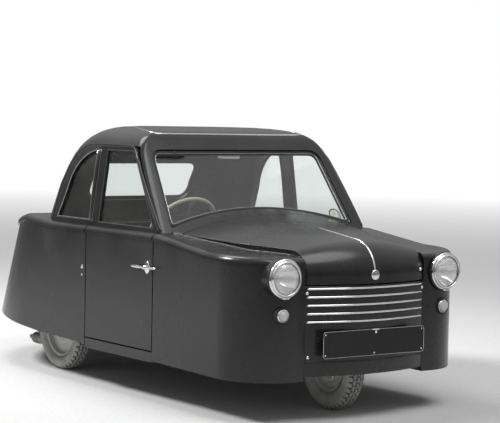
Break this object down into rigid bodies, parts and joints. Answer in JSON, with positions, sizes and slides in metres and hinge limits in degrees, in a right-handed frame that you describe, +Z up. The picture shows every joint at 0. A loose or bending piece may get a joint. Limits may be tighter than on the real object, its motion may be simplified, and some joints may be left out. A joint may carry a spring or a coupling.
{
  "type": "three wheeled car",
  "caption": "Small enclosed saloon with one steered wheel in front, two driven wheels behind, rear engine, side doors, front bonnet and rounded tail.",
  "frame": {"origin": "on the ground at the middle of the overall length and width", "axes": "+Z up, the nose points along -Y, the driver's side is -X"},
  "size_m": [1.432, 3.13, 1.372],
  "materials": {
    "body_paint": "gloss",
    "chassis_paint": "satin",
    "wheel_paint": "satin",
    "plate_black": "gloss",
    "chrome": "polished",
    "clear_glass": "clear",
    "lamp_glass": "ribbed",
    "red_glass": "moulded",
    "seal_rubber": "matt",
    "tyre": "matt",
    "leathercloth": "grained",
    "wheel_plastic": "gloss",
    "spring_steel": "rolled",
    "engine_iron": "as cast",
    "exhaust_steel": "dull"
  },
  "bodies": {
    "body": {"front_wing_left": "body_paint", "front_wing_right": "body_paint", "nose_panels": "body_paint", "grille_strips": "chrome", "scuttle": "body_paint", "roof": "body_paint", "windscreen": "clear_glass", "windscreen_seal": "seal_rubber", "rear_window": "clear_glass", "quarter_glass": "clear_glass", "side_hatches": "body_paint", "rear_body": "body_paint", "sills": "body_paint", "floor_pan": "chassis_paint", "front_bulkhead": "chassis_paint", "rear_bulkhead": "chassis_paint", "dashboard": "body_paint", "seat_base": "chassis_paint", "seat_cushion": "leathercloth", "seat_back": "leathercloth", "chassis_frame": "chassis_paint", "rear_axle": "chassis_paint", "rear_springs": "spring_steel", "engine_block": "engine_iron", "exhaust": "exhaust_steel", "steering_column": "chassis_paint", "headlamps": "chrome", "headlamp_lenses": "lamp_glass", "sidelamps": "chrome", "sidelamp_lenses": "lamp_glass", "tail_lamps": "red_glass", "number_plate": "plate_black"},
    "bonnet": {"bonnet": "body_paint", "bonnet_trim": "chrome"},
    "tail_lid": {"tail_lid": "body_paint"},
    "door_left": {"door_left": "body_paint", "door_glass_left": "clear_glass", "door_handle_left": "chrome"},
    "door_right": {"door_right": "body_paint", "door_glass_right": "clear_glass", "door_handle_right": "chrome"},
    "fork": {"front_fork": "chassis_paint"},
    "front_wheel": {"front_rim": "wheel_paint", "front_tyre": "tyre"},
    "rear_wheel_left": {"rear_rim_left": "wheel_paint", "rear_tyre_left": "tyre"},
    "rear_wheel_right": {"rear_rim_right": "wheel_paint", "rear_tyre_right": "tyre"},
    "steering_wheel": {"steering_wheel": "wheel_plastic"}
  },
  "joints": [
    {"name": "steering", "type": "hinge", "parent": "body", "child": "fork", "pos_m": [0, -1.25, 0.55], "axis": [0, 0, 1], "range_deg": [-35, 35]},
    {"name": "steering_wheel_turn", "type": "hinge", "parent": "body", "child": "steering_wheel", "pos_m": [-0.32, -0.36, 0.85], "axis": [0, 0.8192, 0.5736], "range_deg": [-360, 360]},
    {"name": "front_wheel_spin", "type": "hinge", "parent": "fork", "child": "front_wheel", "pos_m": [0, -1.25, 0.205], "axis": [1, 0, 0], "continuous": true},
    {"name": "rear_wheel_left_spin", "type": "hinge", "parent": "body", "child": "rear_wheel_left", "pos_m": [0.465, 0.579, 0.232], "axis": [1, 0, 0], "continuous": true},
    {"name": "rear_wheel_right_spin", "type": "hinge", "parent": "body", "child": "rear_wheel_right", "pos_m": [-0.465, 0.579, 0.232], "axis": [1, 0, 0], "continuous": true},
    {"name": "door_left_hinge", "type": "hinge", "parent": "body", "child": "door_left", "pos_m": [0.6985, -0.009, 0.55], "axis": [0, 0, 1], "range_deg": [0, 65]},
    {"name": "door_right_hinge", "type": "hinge", "parent": "body", "child": "door_right", "pos_m": [-0.6985, -0.009, 0.55], "axis": [0, 0, -1], "range_deg": [0, 65]},
    {"name": "bonnet_hinge", "type": "hinge", "parent": "body", "child": "bonnet", "pos_m": [0, -0.739, 0.94], "axis": [-1, 0, 0], "range_deg": [0, 50]},
    {"name": "tail_lid_hinge", "type": "hinge", "parent": "body", "child": "tail_lid", "pos_m": [0, 0.793, 0.857], "axis": [1, 0, 0], "range_deg": [0, 60]}
  ],
  "couplings": [
    {"joint": "steering_wheel_turn", "follows": "steering", "ratio": 10.286}
  ]
}
